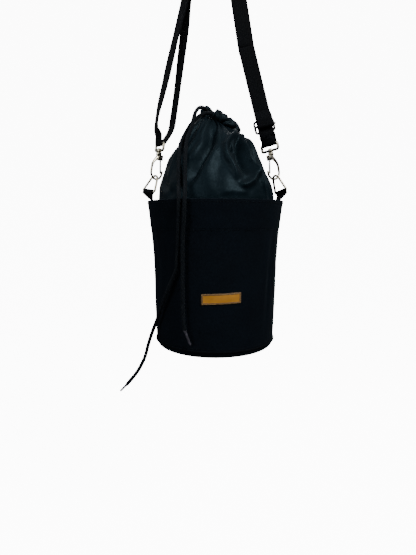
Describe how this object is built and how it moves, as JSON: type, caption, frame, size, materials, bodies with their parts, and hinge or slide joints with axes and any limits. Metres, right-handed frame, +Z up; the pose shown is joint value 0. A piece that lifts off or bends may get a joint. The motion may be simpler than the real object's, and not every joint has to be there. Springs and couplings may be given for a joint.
{
  "type": "drawstring bucket bag",
  "caption": "Round canvas bucket bag with a gathered drawstring top, rings and swivel snap hooks on an adjustable webbing shoulder strap.",
  "frame": {"origin": "Underside of the strap's highest point, where a peg or a hand carries the bag.", "axes": "+Z up; -Y is the front, where the patch is; +X is to the right of someone facing the front. The bag's round body is centred on the Z axis."},
  "size_m": [0.2145, 0.1721, 0.6165],
  "materials": {
    "canvas": "dense navy-black cotton canvas, matte",
    "facing": "canvas facing inside the rim",
    "base_canvas": "navy-black canvas base",
    "board": "stiff grey plastic sheet",
    "binding": "dark bound seam",
    "lining": "thin coated nylon",
    "nylon": "smooth nylon with a soft sheen, finely creased",
    "casing": "bunched nylon channel",
    "cord": "round braided cord",
    "cord_tip": "thin wrapped cord end",
    "tab_webbing": "black webbing",
    "patch": "plain ochre patch with a sewn border",
    "ring_nickel": "nickel-plated wire",
    "webbing": "black ribbed webbing",
    "slider": "black coated steel",
    "nickel": "nickel plate, lightly worn",
    "gate_steel": "light grey sprung gate",
    "pin_steel": "dark round pin head",
    "spring_steel": "spring wire"
  },
  "bodies": {
    "strap": {"strap_main_run": "webbing", "strap_return_run": "webbing", "swivel_eye_left": "nickel", "swivel_eye_right": "nickel"},
    "slider": {"slider": "slider"},
    "hook_left": {"hook_body_left": "nickel", "swivel_pin_left": "nickel", "gate_pin_left": "pin_steel", "gate_spring_left": "spring_steel"},
    "hook_right": {"hook_body_right": "nickel", "swivel_pin_right": "nickel", "gate_pin_right": "pin_steel", "gate_spring_right": "spring_steel"},
    "gate_left": {"gate_left": "gate_steel"},
    "gate_right": {"gate_right": "gate_steel"},
    "bag": {"body_panel": "canvas", "rim_facing": "facing", "base_panel": "base_canvas", "base_board": "board", "base_binding": "binding", "lining": "lining", "skirt": "nylon", "mouth_casing": "casing", "drawcord_loop": "cord", "drawcord_tail_long": "cord", "drawcord_tail_short": "cord", "cord_tip_long": "cord_tip", "cord_tip_short": "cord_tip", "tab_left": "tab_webbing", "tab_right": "tab_webbing", "patch": "patch"},
    "ring_left": {"d_ring_left": "ring_nickel"},
    "ring_right": {"d_ring_right": "ring_nickel"}
  },
  "joints": [
    {"name": "bag_swing", "type": "hinge", "parent": "strap", "child": "bag", "pos_m": [0, 0, -0.34025], "axis": [1, 0, 0], "range_deg": [-20, 20]},
    {"name": "ring_left_play", "type": "hinge", "parent": "bag", "child": "ring_left", "pos_m": [-0.0842, -0.005, -0.35787], "axis": [0.6974, -0.7063, -0.1218], "range_deg": [-3, 3]},
    {"name": "ring_right_play", "type": "hinge", "parent": "bag", "child": "ring_right", "pos_m": [0.0842, 0, -0.35849], "axis": [0.4335, -0.8827, 0.1816], "range_deg": [-3, 3]},
    {"name": "hook_left_swivel", "type": "hinge", "parent": "strap", "child": "hook_left", "pos_m": [-0.0757, 0, -0.3423], "axis": [0.1461, 0, 0.9893], "range_deg": [-15, 15]},
    {"name": "hook_right_swivel", "type": "hinge", "parent": "strap", "child": "hook_right", "pos_m": [0.0757, 0, -0.3423], "axis": [-0.1758, 0, 0.9844], "range_deg": [-5, 12]},
    {"name": "gate_left_open", "type": "hinge", "parent": "hook_left", "child": "gate_left", "pos_m": [-0.06987, 0.00224, -0.31647], "axis": [-0.7387, 0.6651, 0.1091], "range_deg": [0, 26], "stiffness_Nm_per_rad": 0.01, "springref_deg": -17.19},
    {"name": "gate_right_open", "type": "hinge", "parent": "hook_right", "child": "gate_right", "pos_m": [0.06851, -0.00152, -0.31676], "axis": [0.498, -0.8626, 0.0889], "range_deg": [0, 26], "stiffness_Nm_per_rad": 0.01, "springref_deg": -17.19},
    {"name": "slider_slide", "type": "slide", "parent": "strap", "child": "slider", "axis": [-0.2597, 0, 0.9657], "range_m": [0, 0.076], "deforming": ["strap_return_run"]}
  ]
}
